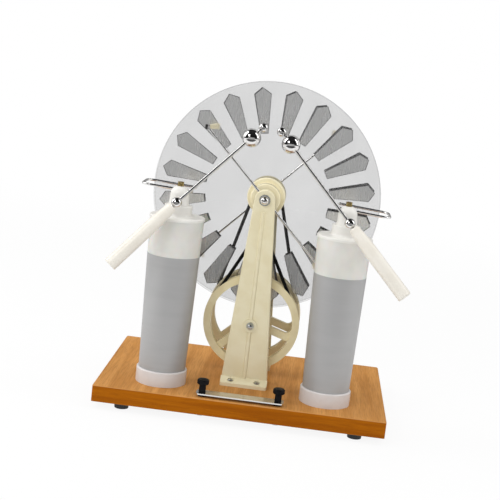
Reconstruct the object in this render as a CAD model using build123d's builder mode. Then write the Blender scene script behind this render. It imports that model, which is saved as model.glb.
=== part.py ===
from build123d import *
from math import asin, atan2, cos, degrees, hypot, radians, sin, sqrt
import os

os.makedirs("parts", exist_ok=True)

# Frame: x to the right, y to the back, z up. The origin is on the table plane, under the
# middle of the board. The front half of the machine is on the -y side.

# Fits between pieces
running_fit = 0.05
free_gap = 0.3

# Base board and feet
foot_height = 8.0
foot_radius = 9.0
jar_x = 96.0
board_width = 2 * (jar_x + 71.0)
board_depth = 236.0
foot_x = board_width / 2 - 33.0
foot_y = board_depth / 2 - 17.0
board_thickness = 19.4
board_top = foot_height + board_thickness

# Axles: the discs turn clear above the drive shaft
disc_radius = 135.0
disc_over_shaft = 14.1
shaft_height = 73.3
shaft_z = board_top + shaft_height
axle_z = board_top + (shaft_height + disc_radius + disc_over_shaft)
axle_radius = 3.0
shaft_radius = 3.0

# Discs, distances from the middle plane between them
disc_inner_face = 3.0
disc_outer_face = 6.0
foil_thickness = 0.2
sector_count = 20
sector_tip_radius = disc_radius - 7.0
sector_shoulder_radius = sector_tip_radius - 8.0
sector_inner_radius = sector_tip_radius - 54.0
sector_outer_width = 19.6
sector_inner_width = 9.2
front_sector_turn = 9.6
rear_sector_turn = 8.8

# Hub pulleys and belts
hub_flange_radius = 22.5
hub_drum_radius = 17.5
hub_flange_face = 15.0
hub_end_face = 34.0
spigot_radius = 8.0
spigot_end = 0.5
belt_y = 26.0
belt_radius = 2.0
belt_small_radius = 15.3
belt_large_radius = 53.2
cross_offset = 2.4

# Drive wheels
wheel_radius = 57.0
wheel_rim_inner = 48.5
wheel_inner_face = 18.0
wheel_outer_face = 30.0
wheel_hub_radius = 11.0
spoke_width = 8.6
spoke_angles = (-17.0, 103.0, 223.0)

# Columns, distances from the middle plane
column_front = 46.0
column_back = 31.5
column_top_back = 38.0
column_half_base = 27.6
column_half_top = 12.0
column_wall = 3.0
column_cavity_top = axle_z - 39.4
foot_flange_front = 56.5
foot_flange_height = 4.0
foot_ramp_height = 9.5
column_screw_x = 15.5
column_screw_y = 51.3
shaft_boss_radius = 7.8
shaft_boss_face = 48.0

# Neutraliser rods
neutraliser_y = 36.0
front_arm_length = 107.0
rear_arm_length = 114.0
neutraliser_radius = 1.5
collar_radius = 9.0
front_neutraliser_angle = 135.0
rear_neutraliser_angle = 46.0
bristle_rows = 6
bristle_columns = 15
bristle_radius = 0.14
bristle_lean = 22.0

# Jars
jar_y = -67.7
socket_radius = 29.4
socket_height = 17.2
socket_floor = 3.0
jar_bottom = board_top + 4.7
jar_foot_radius = 26.75
jar_slope = 0.0221
jar_wall = 2.0
coating_top = board_top + 151.3
jar_top = board_top + 192.5
lid_radius = 31.8
lid_top = board_top + 196.0
neck_radius = 16.0
neck_top = board_top + 208.5
knob_top = board_top + 231.0

# Discharge rods and collectors
cross_rod_z = board_top + 215.4
cross_rod_radius = 2.0
joint_y = -103.0
joint_ball_radius = 6.0
right_joint_shift = 2.4
left_joint_shift = 1.2
rod_radius = 1.8
tang_radius = 2.3
right_rod_rise = 45.5
left_rod_rise = 47.1
rod_lean = 14.5
spark_gap = 10.0
ball_spacing = 17.8
big_ball_radius = 10.5
small_ball_radius = 5.4
handle_length = 101.0
left_handle_sag = 2.2
collector_z = board_top + 219.8
collector_y = 23.5
collector_radius = 1.5
collector_tip_x = disc_radius - 47.0
collector_outer_x = disc_radius + 12.0
right_collector_tilt = 4.0
left_collector_tilt = 3.0

# Terminals and link strip
terminal_x = 43.2
terminal_y = -106.5
bushing_height = 3.0
bushing_radius = 4.5
strip_thickness = 1.4
strip_width = 17.0
stud_radius = 2.0
strap_thickness = 0.6

front_wall = Plane.XZ


def save(builder, name):
    builder.part.label = name
    export_step(builder.part, f"parts/{name}.step")


def reflected(source, plane):
    with BuildPart() as other:
        mirror(source.part, about=plane)
    return other


def along_y(height):
    return Axis((0, 0, height), (0, 1, 0))


def jar_outer(z):
    return jar_foot_radius + (z - jar_bottom) * jar_slope


# Base board with its holes
with BuildPart() as base_board:
    with Locations((0, 0, foot_height)):
        Box(board_width, board_depth, board_thickness, align=(Align.CENTER, Align.CENTER, Align.MIN))
    fillet(base_board.edges().filter_by(Axis.Z), radius=2.0)
    chamfer(base_board.faces().sort_by(Axis.Z)[-1].edges(), length=1.0)
    with BuildSketch(Plane.XY.offset(foot_height)):
        with Locations((jar_x, jar_y), (-jar_x, jar_y), (terminal_x, terminal_y), (-terminal_x, terminal_y)):
            Circle(stud_radius)
    extrude(amount=board_thickness, mode=Mode.SUBTRACT)
    with BuildSketch(Plane.XY.offset(foot_height)):
        with GridLocations(2 * foot_x, 2 * foot_y, 2, 2):
            Circle(1.7)
    extrude(amount=9.0, mode=Mode.SUBTRACT)
    with BuildSketch(Plane.XY.offset(board_top)):
        with GridLocations(2 * column_screw_x, 2 * column_screw_y, 2, 2):
            Circle(1.7)
    extrude(amount=-12.0, mode=Mode.SUBTRACT)
save(base_board, "base_board")

# Rubber feet, each with a recess for its screw head
with BuildPart() as rubber_feet:
    with GridLocations(2 * foot_x, 2 * foot_y, 2, 2):
        with Locations((0, 0, foot_height / 2)):
            Cone(foot_radius - 1.0, foot_radius, foot_height)
        with Locations((0, 0, foot_height / 2)):
            Cylinder(1.7, foot_height, mode=Mode.SUBTRACT)
        with Locations((0, 0, 2.2)):
            Cylinder(4.0, 4.4, mode=Mode.SUBTRACT)
save(rubber_feet, "rubber_feet")

with BuildPart() as foot_screws:
    with GridLocations(2 * foot_x, 2 * foot_y, 2, 2):
        with Locations((0, 0, 3.3)):
            Cylinder(3.2, 2.2)
        with Locations((0, 0, 10.2)):
            Cylinder(1.7, 11.6)
save(foot_screws, "foot_screws")

screw_head_radius = 3.3
ramp_slope = (foot_ramp_height - foot_flange_height) / (foot_flange_front - column_front)
screw_seat = board_top + foot_flange_height + ramp_slope * (foot_flange_front - column_screw_y) - 1.0

# Columns: an open-backed moulding with a rib, two bearings and a ramped foot flange
with BuildPart() as front_column:
    with BuildSketch(front_wall.offset(column_back)):
        with BuildLine():
            Line((column_half_base, board_top), (column_half_top, axle_z))
            CenterArc((0, axle_z), column_half_top, 0, 180)
            Line((-column_half_top, axle_z), (-column_half_base, board_top))
            Line((-column_half_base, board_top), (column_half_base, board_top))
        make_face()
    extrude(amount=column_front - column_back)
    fillet(front_column.faces().sort_by(Axis.Y)[0].edges().filter_by(
        lambda e: e.center().Z > board_top + 1), radius=1.2)
    column_slope = (column_half_base - column_half_top) / (axle_z - board_top)
    cavity_half_top = column_half_base - column_slope * (column_cavity_top - board_top) - column_wall
    with BuildSketch(front_wall.offset(column_back)):
        Polygon(
            (column_half_base - column_wall, board_top + foot_flange_height),
            (cavity_half_top, column_cavity_top),
            (-cavity_half_top, column_cavity_top),
            (-column_half_base + column_wall, board_top + foot_flange_height),
            align=None,
        )
    extrude(amount=column_front - column_back - column_wall - 0.5, mode=Mode.SUBTRACT)
    # the back leans forward above the drive wheel to clear the hub pulley
    with BuildSketch(Plane.YZ.offset(-40)):
        Polygon(
            (-column_back, axle_z - 80.4),
            (-column_top_back, axle_z - 36.4),
            (-column_top_back, axle_z + 20),
            (-column_back + 2, axle_z + 20),
            (-column_back + 2, axle_z - 80.4),
            align=None,
        )
    extrude(amount=80, mode=Mode.SUBTRACT)
    # bearing for the drive shaft
    with BuildSketch(front_wall.offset(column_back)):
        with Locations((0, shaft_z)):
            Circle(shaft_boss_radius)
    extrude(amount=shaft_boss_face - column_back)
    # centre rib, interrupted by the shaft boss
    with BuildSketch(front_wall.offset(column_front)):
        with Locations((0, (axle_z - 13 + board_top + 1) / 2)):
            Rectangle(5.4, axle_z - 14 - board_top)
    extrude(amount=1.5, taper=45)
    # foot flange, ramped up to the front wall
    with BuildSketch(Plane.YZ.offset(-column_half_base)):
        Polygon(
            (-column_back, board_top),
            (-foot_flange_front, board_top),
            (-foot_flange_front, board_top + foot_flange_height),
            (-column_front, board_top + foot_ramp_height),
            (-column_front + 1.0, board_top + foot_flange_height),
            (-column_back, board_top + foot_flange_height),
            align=None,
        )
    extrude(amount=2 * column_half_base)
    fillet(front_column.edges().filter_by(Axis.Z).group_by(Axis.Y)[0], radius=2.5)
    with BuildSketch(front_wall.offset(column_back - 1)):
        with Locations((0, shaft_z)):
            Circle(shaft_radius + running_fit)
        with Locations((0, axle_z)):
            Circle(axle_radius)
    extrude(amount=30, mode=Mode.SUBTRACT)
    with BuildSketch(Plane.XY.offset(board_top)):
        with Locations((column_screw_x, -column_screw_y), (-column_screw_x, -column_screw_y)):
            Circle(1.7)
    extrude(amount=foot_ramp_height, mode=Mode.SUBTRACT)
    # flat seats for the screw heads
    with BuildSketch(Plane.XY.offset(screw_seat)):
        with Locations((column_screw_x, -column_screw_y), (-column_screw_x, -column_screw_y)):
            Circle(screw_head_radius + free_gap)
    extrude(amount=foot_ramp_height, mode=Mode.SUBTRACT)
save(front_column, "front_column")
rear_column = reflected(front_column, Plane.XZ)
save(rear_column, "rear_column")

with BuildPart() as column_screws:
    with GridLocations(2 * column_screw_x, 2 * column_screw_y, 2, 2):
        with Locations((0, 0, board_top - 8.0)):
            Cylinder(1.7, screw_seat - board_top + 8.0, align=(Align.CENTER, Align.CENTER, Align.MIN))
        with Locations((0, 0, screw_seat)):
            Cone(screw_head_radius, 2.1, 2.2, align=(Align.CENTER, Align.CENTER, Align.MIN))
        with Locations((0, 0, screw_seat + 2.2)):
            Box(3.6, 0.8, 1.2, mode=Mode.SUBTRACT)
            Box(0.8, 3.6, 1.2, mode=Mode.SUBTRACT)
save(column_screws, "column_screws")

# Fixed axle of the discs with its washers and cap nuts
with BuildPart() as disc_axle:
    with Locations((0, 0, axle_z)):
        Cylinder(axle_radius, 2 * column_front + 8, rotation=(90, 0, 0))
save(disc_axle, "disc_axle")

with BuildPart() as axle_washers:
    for side in (-1, 1):
        with Locations((0, side * (column_front + 0.5), axle_z)):
            Cylinder(6.4, 1.0, rotation=(90, 0, 0))
            Cylinder(axle_radius, 1.0, rotation=(90, 0, 0), mode=Mode.SUBTRACT)
save(axle_washers, "axle_washers")

with BuildPart() as front_cap_nut:
    with BuildSketch(Plane.YZ):
        with BuildLine():
            Polyline(
                (-column_front - 4.0, axle_z),
                (-column_front - 4.0, axle_z + axle_radius),
                (-column_front - 1.0, axle_z + axle_radius),
                (-column_front - 1.0, axle_z + 5.4),
                (-column_front - 3.6, axle_z + 5.2),
                (-column_front - 3.6, axle_z + 4.8),
            )
            CenterArc((-column_front - 3.6, axle_z), 4.8, 90, 90)
            Line((-column_front - 8.4, axle_z), (-column_front - 4.0, axle_z))
        make_face()
    revolve(axis=along_y(axle_z))
with BuildPart() as axle_cap_nuts:
    add(front_cap_nut.part)
    mirror(front_cap_nut.part, about=Plane.XZ)
save(axle_cap_nuts, "axle_cap_nuts")


# Discs, sectors and hub pulleys
with BuildPart() as front_disc:
    with BuildSketch(front_wall.offset(disc_inner_face)):
        with Locations((0, axle_z)):
            Circle(disc_radius)
            Circle(spigot_radius, mode=Mode.SUBTRACT)
    extrude(amount=disc_outer_face - disc_inner_face)
    chamfer(front_disc.edges().filter_by(GeomType.CIRCLE).filter_by(
        lambda e: e.radius > disc_radius - 1), length=0.4)
save(front_disc, "front_disc")
save(reflected(front_disc, Plane.XZ), "rear_disc")


def sector_ring(turn):
    with BuildPart() as ring:
        with BuildSketch(front_wall.offset(disc_outer_face)):
            with Locations((0, axle_z)):
                with PolarLocations(0, sector_count, start_angle=turn):
                    Polygon(
                        (sector_inner_radius, -sector_inner_width / 2),
                        (sector_shoulder_radius, -sector_outer_width / 2),
                        (sector_tip_radius, 0),
                        (sector_shoulder_radius, sector_outer_width / 2),
                        (sector_inner_radius, sector_inner_width / 2),
                        align=None,
                    )
        extrude(amount=foil_thickness)
    return ring


save(sector_ring(90 - front_sector_turn), "front_disc_sectors")
save(reflected(sector_ring(90 - rear_sector_turn), Plane.XZ), "rear_disc_sectors")


def groove(belt_centre_radius, rim_radius):
    bottom = belt_centre_radius - belt_radius - free_gap
    return [
        (-belt_y + 3.9, rim_radius),
        (-belt_y + belt_radius + 0.5, bottom + 0.8),
        (-belt_y + 1.2, bottom),
        (-belt_y - 1.2, bottom),
        (-belt_y - belt_radius - 0.5, bottom + 0.8),
        (-belt_y - 3.9, rim_radius),
    ]


def turned(points, bore, height):
    with BuildPart() as body:
        with BuildSketch(Plane.YZ):
            with Locations((0, height)):
                Polygon((points[0][0], bore), *points, (points[-1][0], bore), align=None)
        revolve(axis=along_y(height))
    return body.part


hub_profile = [
    (-spigot_end, spigot_radius),
    (-disc_outer_face, spigot_radius),
    (-disc_outer_face, hub_flange_radius - 0.8),
    (-disc_outer_face - 0.8, hub_flange_radius),
    (-hub_flange_face + 1.2, hub_flange_radius),
    (-hub_flange_face, hub_flange_radius - 1.2),
    (-hub_flange_face, hub_drum_radius),
    *groove(belt_small_radius, hub_drum_radius),
    (-hub_end_face + 1.0, hub_drum_radius),
    (-hub_end_face, hub_drum_radius - 1.0),
]
with BuildPart() as front_hub_pulley:
    add(turned(hub_profile, axle_radius + running_fit, axle_z))
save(front_hub_pulley, "front_hub_pulley")
save(reflected(front_hub_pulley, Plane.XZ), "rear_hub_pulley")

# Drive shaft, wheels and nut
with BuildPart() as drive_shaft:
    with Locations((0, 6.0, shaft_z)):
        Cylinder(shaft_radius, 112.0, rotation=(90, 0, 0))
save(drive_shaft, "drive_shaft")

rim_profile = [
    (-wheel_inner_face, wheel_radius - 1.0),
    (-wheel_inner_face - 1.0, wheel_radius),
    *groove(belt_large_radius, wheel_radius),
    (-wheel_outer_face, wheel_radius),
]
with BuildPart() as front_drive_wheel:
    add(turned(rim_profile, wheel_rim_inner, shaft_z))
    # web with three windows
    with BuildSketch(front_wall.offset(wheel_inner_face + 2.5)):
        with Locations((0, shaft_z)):
            Circle(wheel_rim_inner + 0.5)
    extrude(amount=7.0)
    with BuildSketch(front_wall.offset(wheel_inner_face)) as windows:
        with Locations((0, shaft_z)):
            Circle(wheel_rim_inner)
            Circle(wheel_hub_radius, mode=Mode.SUBTRACT)
            for spoke_angle in spoke_angles:
                Rectangle(
                    wheel_radius, spoke_width, rotation=spoke_angle,
                    align=(Align.MIN, Align.CENTER), mode=Mode.SUBTRACT,
                )
        fillet(windows.vertices().group_by(lambda v: round(hypot(v.X, v.Y - shaft_z)))[-1], radius=6.0)
    extrude(amount=wheel_outer_face - wheel_inner_face, mode=Mode.SUBTRACT)
    # hub
    with BuildSketch(front_wall.offset(wheel_inner_face - 3)):
        with Locations((0, shaft_z)):
            Circle(wheel_hub_radius)
    extrude(amount=column_back - free_gap - wheel_inner_face + 3)
    with BuildSketch(front_wall.offset(wheel_inner_face - 4)):
        with Locations((0, shaft_z)):
            Circle(shaft_radius)
    extrude(amount=30, mode=Mode.SUBTRACT)
save(front_drive_wheel, "front_drive_wheel")
save(reflected(front_drive_wheel, Plane.XZ), "rear_drive_wheel")

with BuildPart() as shaft_nut:
    with BuildSketch(Plane.YZ):
        with BuildLine():
            Polyline(
                (-50.0, shaft_z),
                (-50.0, shaft_z + shaft_radius),
                (-shaft_boss_face - free_gap, shaft_z + shaft_radius),
                (-shaft_boss_face - free_gap, shaft_z + 4.4),
                (-50.2, shaft_z + 4.2),
                (-50.2, shaft_z + 3.7),
            )
            CenterArc((-50.2, shaft_z), 3.7, 90, 90)
            Line((-53.9, shaft_z), (-50.0, shaft_z))
        make_face()
    revolve(axis=along_y(shaft_z))
save(shaft_nut, "shaft_nut")

# Crank at the back end of the drive shaft
crank_length = 44.0
crank_z = shaft_z - crank_length
crank_front = 51.0
crank_back = 58.0
with BuildPart() as crank_arm:
    with BuildSketch(front_wall.offset(-crank_back)):
        with Locations((0, (shaft_z + crank_z) / 2)):
            SlotCenterToCenter(crank_length, 13.0, rotation=90)
    extrude(amount=crank_back - crank_front)
    with Locations((0, crank_back + 2.0, shaft_z)):
        Cylinder(8.0, 4.0, rotation=(90, 0, 0))
    fillet(crank_arm.edges().filter_by(GeomType.CIRCLE).group_by(Axis.Y)[-1], radius=1.0)
    with Locations((0, crank_back, shaft_z)):
        Cylinder(shaft_radius, 20, rotation=(90, 0, 0), mode=Mode.SUBTRACT)
    with Locations((0, crank_back, crank_z)):
        Cylinder(2.5, 20, rotation=(90, 0, 0), mode=Mode.SUBTRACT)
save(crank_arm, "crank_arm")

grip_start = crank_back + free_gap
grip_length = 74.0
grip_end = grip_start + grip_length
with BuildPart() as crank_pin:
    with Locations((0, (crank_front + grip_end + 0.6) / 2, crank_z)):
        Cylinder(2.5, grip_end + 0.6 - crank_front, rotation=(90, 0, 0))
    with Locations((0, grip_end + 1.6, crank_z)):
        Cylinder(4.5, 2.4, rotation=(90, 0, 0))
save(crank_pin, "crank_pin")

with BuildPart() as crank_grip:
    with BuildSketch(Plane.YZ):
        with BuildLine():
            Polyline(
                (grip_start, crank_z + 2.5 + running_fit),
                (grip_start, crank_z + 6.0),
                (grip_start + 1.5, crank_z + 7.5),
            )
            Spline(
                (grip_start + 1.5, crank_z + 7.5),
                (grip_start + grip_length / 2, crank_z + 9.2),
                (grip_end - 1.5, crank_z + 7.2),
            )
            Polyline(
                (grip_end - 1.5, crank_z + 7.2),
                (grip_end, crank_z + 5.6),
                (grip_end, crank_z + 2.5 + running_fit),
                (grip_start, crank_z + 2.5 + running_fit),
            )
        make_face()
    revolve(axis=along_y(crank_z))
save(crank_grip, "crank_grip")

# Belts: round cords that follow their pulleys with a small gap all the way
centre_distance = axle_z - shaft_z
open_angle = degrees(asin((belt_large_radius - belt_small_radius) / centre_distance))
cross_angle = degrees(asin((belt_large_radius + belt_small_radius) / centre_distance))


def belt_point(height, radius, angle):
    return Vector(radius * cos(radians(angle)), -belt_y, height + radius * sin(radians(angle)))


def belt_bend(height, radius, start, span):
    start_point = belt_point(height, radius, start)
    across = Vector(cos(radians(start)), 0, sin(radians(start)))
    with BuildPart() as bend:
        with BuildSketch(Plane(origin=start_point, x_dir=across, z_dir=across.cross(Vector(0, 1, 0)))):
            Circle(belt_radius)
        revolve(axis=Axis((0, 0, height), (0, -1, 0)), revolution_arc=span)
    return bend.part


def round_bar(start, end, radius):
    axis = Vector(*end) - Vector(*start)
    with BuildPart() as bar:
        with BuildSketch(Plane(origin=start, z_dir=axis)):
            Circle(radius)
        extrude(amount=axis.length)
    return bar.part


def round_path(corners, radius):
    with BuildPart() as path:
        for start, end in zip(corners, corners[1:]):
            add(round_bar(start, end, radius))
        with Locations(*corners[1:-1]):
            Sphere(radius)
    return path.part


# rear belt, open: built at the front and reflected
with BuildPart() as open_belt:
    add(belt_bend(axle_z, belt_small_radius, open_angle, 180 - 2 * open_angle))
    add(belt_bend(shaft_z, belt_large_radius, 180 - open_angle, 180 + 2 * open_angle))
    for tangent_angle in (open_angle, 180 - open_angle):
        add(round_bar(
            belt_point(axle_z, belt_small_radius, tangent_angle),
            belt_point(shaft_z, belt_large_radius, tangent_angle),
            belt_radius,
        ))
save(reflected(open_belt, Plane.XZ), "rear_belt")

# front belt, crossed: each strand passes beside the other where they meet
cross_z = axle_z - belt_small_radius / sin(radians(cross_angle))


def crossed_strand(side, offset):
    upper = belt_point(axle_z, belt_small_radius, 90 - side * (90 + cross_angle))
    lower = belt_point(shaft_z, belt_large_radius, 90 + side * (90 - cross_angle))
    along = (lower - upper).normalized()
    crossing = Vector(0, -belt_y + offset, cross_z)
    return round_path([upper, upper + along * 8, crossing, lower - along * 60, lower], belt_radius)


with BuildPart() as front_belt:
    add(belt_bend(axle_z, belt_small_radius, -cross_angle, 180 + 2 * cross_angle))
    add(belt_bend(shaft_z, belt_large_radius, 180 - cross_angle, 180 + 2 * cross_angle))
    add(crossed_strand(1, cross_offset))
    add(crossed_strand(-1, -cross_offset))
save(front_belt, "front_belt")

# Neutraliser rods: a collar on the fixed axle with an arm each way and a brush at each tip
clip_reach = 2.5
clip_width = 5.4
clip_depth = 3.4
bristle_tip_y = disc_outer_face + foil_thickness + free_gap


def brush_plane(tilt, arm_length, end, reach):
    angle = radians(tilt)
    tip = Vector(
        end * arm_length * cos(angle),
        -neutraliser_y,
        axle_z + end * arm_length * sin(angle),
    )
    towards_disc = Vector(end * sin(radians(bristle_lean)), cos(radians(bristle_lean)), 0)
    return Plane(origin=tip + towards_disc * reach, x_dir=(0, 0, 1), z_dir=towards_disc)


def neutraliser(tilt, arm_length):
    with BuildPart() as rod:
        with Locations((0, -neutraliser_y, axle_z)):
            Cylinder(collar_radius, 3.2, rotation=(90, 0, 0))
        for end in (-1, 1):
            root = brush_plane(tilt, arm_length, end, 0)
            add(round_bar((0, -neutraliser_y, axle_z), root.origin, neutraliser_radius))
            with Locations(root):
                Box(clip_width, clip_depth, 2 * clip_reach)
        with Locations((0, -neutraliser_y, axle_z)):
            Cylinder(axle_radius + running_fit, 5, rotation=(90, 0, 0), mode=Mode.SUBTRACT)
    return rod


def behind(source):
    with BuildPart() as turned_round:
        add(source.part.rotate(Axis.Z, 180))
    return turned_round


rear_tilt = 180 - rear_neutraliser_angle
save(neutraliser(front_neutraliser_angle, front_arm_length), "front_neutraliser")
save(behind(neutraliser(rear_tilt, rear_arm_length)), "rear_neutraliser")


def bristle_planes(tilt, arm_length, end):
    root = brush_plane(tilt, arm_length, end, clip_reach + 0.8)
    planes = []
    for row in range(bristle_rows):
        for column in range(bristle_columns):
            across = (column - (bristle_columns - 1) / 2) * 0.31
            deep = (row - (bristle_rows - 1) / 2) * 0.46
            lean = Vector(across * 0.035, deep * 0.03, 1)
            start = root.from_local_coords(Vector(across, deep, 0))
            finish = root.from_local_coords(Vector(across, deep, 0) + lean)
            planes.append(Plane(origin=start, z_dir=finish - start))
    return planes


def brushes(tilt, arm_length):
    with BuildPart() as tufts:
        for end in (-1, 1):
            with BuildSketch(*bristle_planes(tilt, arm_length, end)):
                RegularPolygon(bristle_radius, 3)
        extrude(amount=36.0)
        split(bisect_by=front_wall.offset(bristle_tip_y), keep=Keep.TOP)
        for end in (-1, 1):
            with Locations(brush_plane(tilt, arm_length, end, clip_reach + 0.5)):
                Box(5.0, 3.0, 1.0)
    return tufts


save(brushes(front_neutraliser_angle, front_arm_length), "front_brushes")
save(behind(brushes(rear_tilt, rear_arm_length)), "rear_brushes")


# Leyden jars: built on the right and reflected to the left
def turned_upright(points):
    with BuildPart() as body:
        with BuildSketch(Plane(origin=(jar_x, jar_y, 0), x_dir=(1, 0, 0), z_dir=(0, -1, 0))):
            Polygon(*points, align=None)
        revolve(axis=Axis((jar_x, jar_y, 0), (0, 0, 1)))
    return body


def save_pair(right, name):
    save(right, f"right_{name}")
    save(reflected(right, Plane.YZ), f"left_{name}")


socket_bore = jar_outer(board_top + socket_height) + foil_thickness + 0.1
save_pair(
    turned_upright([
        (stud_radius, board_top),
        (socket_radius, board_top),
        (socket_radius, board_top + socket_height - 1.2),
        (socket_radius - 1.0, board_top + socket_height),
        (socket_bore, board_top + socket_height),
        (socket_bore, board_top + socket_floor),
        (stud_radius, board_top + socket_floor),
    ]),
    "jar_socket",
)

jar_inner_floor = jar_bottom + jar_wall
save_pair(
    turned_upright([
        (0, jar_bottom),
        (jar_outer(jar_bottom), jar_bottom),
        (jar_outer(jar_top), jar_top),
        (jar_outer(jar_top) - jar_wall, jar_top),
        (jar_outer(jar_inner_floor) - jar_wall, jar_inner_floor),
        (0, jar_inner_floor),
    ]),
    "jar",
)


def coating(bottom, radius_at, thickness):
    return turned_upright([
        (0, bottom),
        (radius_at(bottom), bottom),
        (radius_at(coating_top), coating_top),
        (radius_at(coating_top) + thickness, coating_top),
        (radius_at(bottom) + thickness, bottom - thickness),
        (0, bottom - thickness),
    ])


save_pair(coating(jar_bottom, jar_outer, foil_thickness), "outer_coating")
save_pair(
    coating(jar_inner_floor, lambda z: jar_outer(z) - jar_wall - running_fit, -foil_thickness), "inner_coating"
)

plug_radius = jar_outer(jar_top - 6) - jar_wall - 0.1
inner_rod_radius = 1.8
save_pair(
    turned_upright([
        (inner_rod_radius, jar_top - 6),
        (plug_radius, jar_top - 6),
        (plug_radius, jar_top),
        (lid_radius, jar_top),
        (lid_radius, lid_top - 1.0),
        (lid_radius - 1.0, lid_top),
        (neck_radius + 3.0, lid_top),
        (neck_radius + 0.9, lid_top + 0.9),
        (neck_radius, lid_top + 3.0),
        (neck_radius, neck_top - 0.8),
        (neck_radius - 0.8, neck_top),
        (inner_rod_radius, neck_top),
    ]),
    "jar_lid",
)

# domed knob, bored for the inner rod, the cross rod and the brass screw
screw_shank = 1.8
knob_radius = 10.8
joint_shift = {1: right_joint_shift, -1: left_joint_shift}


def joint_at(side):
    return Vector(side * jar_x + joint_shift[side], joint_y, cross_rod_z)


def cross_direction(side):
    return (joint_at(side) - Vector(side * jar_x, jar_y, cross_rod_z)).normalized()


def knob(side):
    with BuildPart() as dome:
        with BuildSketch(Plane(origin=(side * jar_x, jar_y, 0), x_dir=(1, 0, 0), z_dir=(0, -1, 0))):
            with BuildLine():
                Polyline(
                    (0, knob_top),
                    (0, neck_top),
                    (knob_radius + 1.2, neck_top),
                    (knob_radius + 0.4, neck_top + 4),
                    (knob_radius, knob_top - knob_radius),
                )
                CenterArc((0, knob_top - knob_radius), knob_radius, 0, 90)
            make_face()
        revolve(axis=Axis((side * jar_x, jar_y, 0), (0, 0, 1)))
        with Locations((side * jar_x, jar_y, screw_seat_z)):
            Cylinder(5.0, 10, align=(Align.CENTER, Align.CENTER, Align.MIN), mode=Mode.SUBTRACT)
        with Locations((side * jar_x, jar_y, cross_rod_z)):
            Cylinder(screw_shank + running_fit, 30, align=(Align.CENTER, Align.CENTER, Align.MIN), mode=Mode.SUBTRACT)
            Cylinder(inner_rod_radius, 30, align=(Align.CENTER, Align.CENTER, Align.MAX), mode=Mode.SUBTRACT)
        with Locations(Plane(origin=(side * jar_x, jar_y, cross_rod_z), z_dir=cross_direction(side))):
            Cylinder(cross_rod_radius, 40, mode=Mode.SUBTRACT)
    return dome


screw_seat_z = knob_top - 1.2
for word, side in (("left", -1), ("right", 1)):
    save(knob(side), f"{word}_knob")

brass_radius = 3.5
with BuildPart() as brass_screw:
    with Locations((jar_x, jar_y, cross_rod_z + cross_rod_radius + 0.1)):
        Cylinder(screw_shank, knob_top - cross_rod_z, align=(Align.CENTER, Align.CENTER, Align.MIN))
    with BuildSketch(Plane.XY.offset(screw_seat_z + 0.1)):
        with Locations((jar_x, jar_y)):
            Circle(brass_radius)
            with PolarLocations(brass_radius + 0.2, 12):
                Circle(0.45, mode=Mode.SUBTRACT)
    extrude(amount=5.0)
    with Locations((jar_x, jar_y, screw_seat_z + 5.1)):
        Box(10, 0.9, 2.0, mode=Mode.SUBTRACT)
save_pair(brass_screw, "brass_screw")

spring_z = jar_bottom + 40
inner_face = jar_outer(spring_z) - jar_wall - foil_thickness - 2 * running_fit
spring_half = sqrt(inner_face ** 2 - 3 ** 2)
with BuildPart() as inner_rod:
    with Locations((jar_x, jar_y, spring_z - 12)):
        Cylinder(
            inner_rod_radius, cross_rod_z - cross_rod_radius - spring_z + 12,
            align=(Align.CENTER, Align.CENTER, Align.MIN),
        )
    with Locations((jar_x, jar_y, spring_z)):
        Box(2 * spring_half, 6.0, 0.6)
    for side in (-1, 1):
        with Locations((jar_x + side * (spring_half - 0.6), jar_y, spring_z - 4)):
            Box(0.5, 6.0, 8.0)
save_pair(inner_rod, "inner_rod")

# Cross rod through the knob: carries the discharge rod in front and the collector behind
sleeve_radius = 3.4


def along_cross_rod(side, y):
    direction = cross_direction(side)
    return joint_at(side) + direction * ((y - joint_y) / direction.Y)


def cross_rod(side):
    with BuildPart() as rod:
        add(round_bar(
            along_cross_rod(side, joint_y + 2.4), along_cross_rod(side, -collector_y - 2.0), cross_rod_radius
        ))
    return rod


pin_start = 15.0
pin_step = 6.0
pin_tip = disc_outer_face + foil_thickness + 1.5


def fork():
    with BuildPart() as prongs:
        with BuildLine(Plane.XY.offset(collector_z)) as outline:
            FilletPolyline(
                (collector_tip_x, -collector_y),
                (collector_outer_x, -collector_y),
                (collector_outer_x, collector_y),
                (collector_tip_x, collector_y),
                radius=11.0,
            )
        with BuildSketch(Plane(origin=outline.line @ 0, z_dir=outline.line % 0)):
            Circle(collector_radius)
        sweep(path=outline.line)
        for side in (-1, 1):
            with Locations(Plane(origin=(collector_tip_x, side * collector_y, collector_z), z_dir=(-1, 0, 0))):
                Sphere(2.0)
            for pin in range(3):
                pin_x = collector_tip_x + pin_start + pin_step * pin
                with Locations(Plane(
                    origin=(pin_x, side * collector_y, collector_z), z_dir=(0, -side, 0)
                )):
                    Cone(0.8, 0.15, collector_y - pin_tip, align=(Align.CENTER, Align.CENTER, Align.MIN))
    return prongs


def collector(side, tilt):
    prongs = fork() if side > 0 else reflected(fork(), Plane.YZ)
    direction = cross_direction(side)
    with BuildPart() as whole:
        add(prongs.part.rotate(Axis((side * jar_x, 0, cross_rod_z), (0, 1, 0)), tilt))
        with Locations(Plane(origin=along_cross_rod(side, -collector_y + 1.5), z_dir=direction)):
            Cylinder(sleeve_radius, 9.0, align=(Align.CENTER, Align.CENTER, Align.MIN))
        with Locations(Plane(origin=along_cross_rod(side, -collector_y - 2.0), z_dir=direction)):
            Cylinder(
                cross_rod_radius, 12.0, align=(Align.CENTER, Align.CENTER, Align.MIN), mode=Mode.SUBTRACT
            )
    return whole


for word, side, tilt in (("left", -1, left_collector_tilt), ("right", 1, right_collector_tilt)):
    save(cross_rod(side), f"{word}_cross_rod")
    save(collector(side, tilt), f"{word}_collector")


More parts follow.
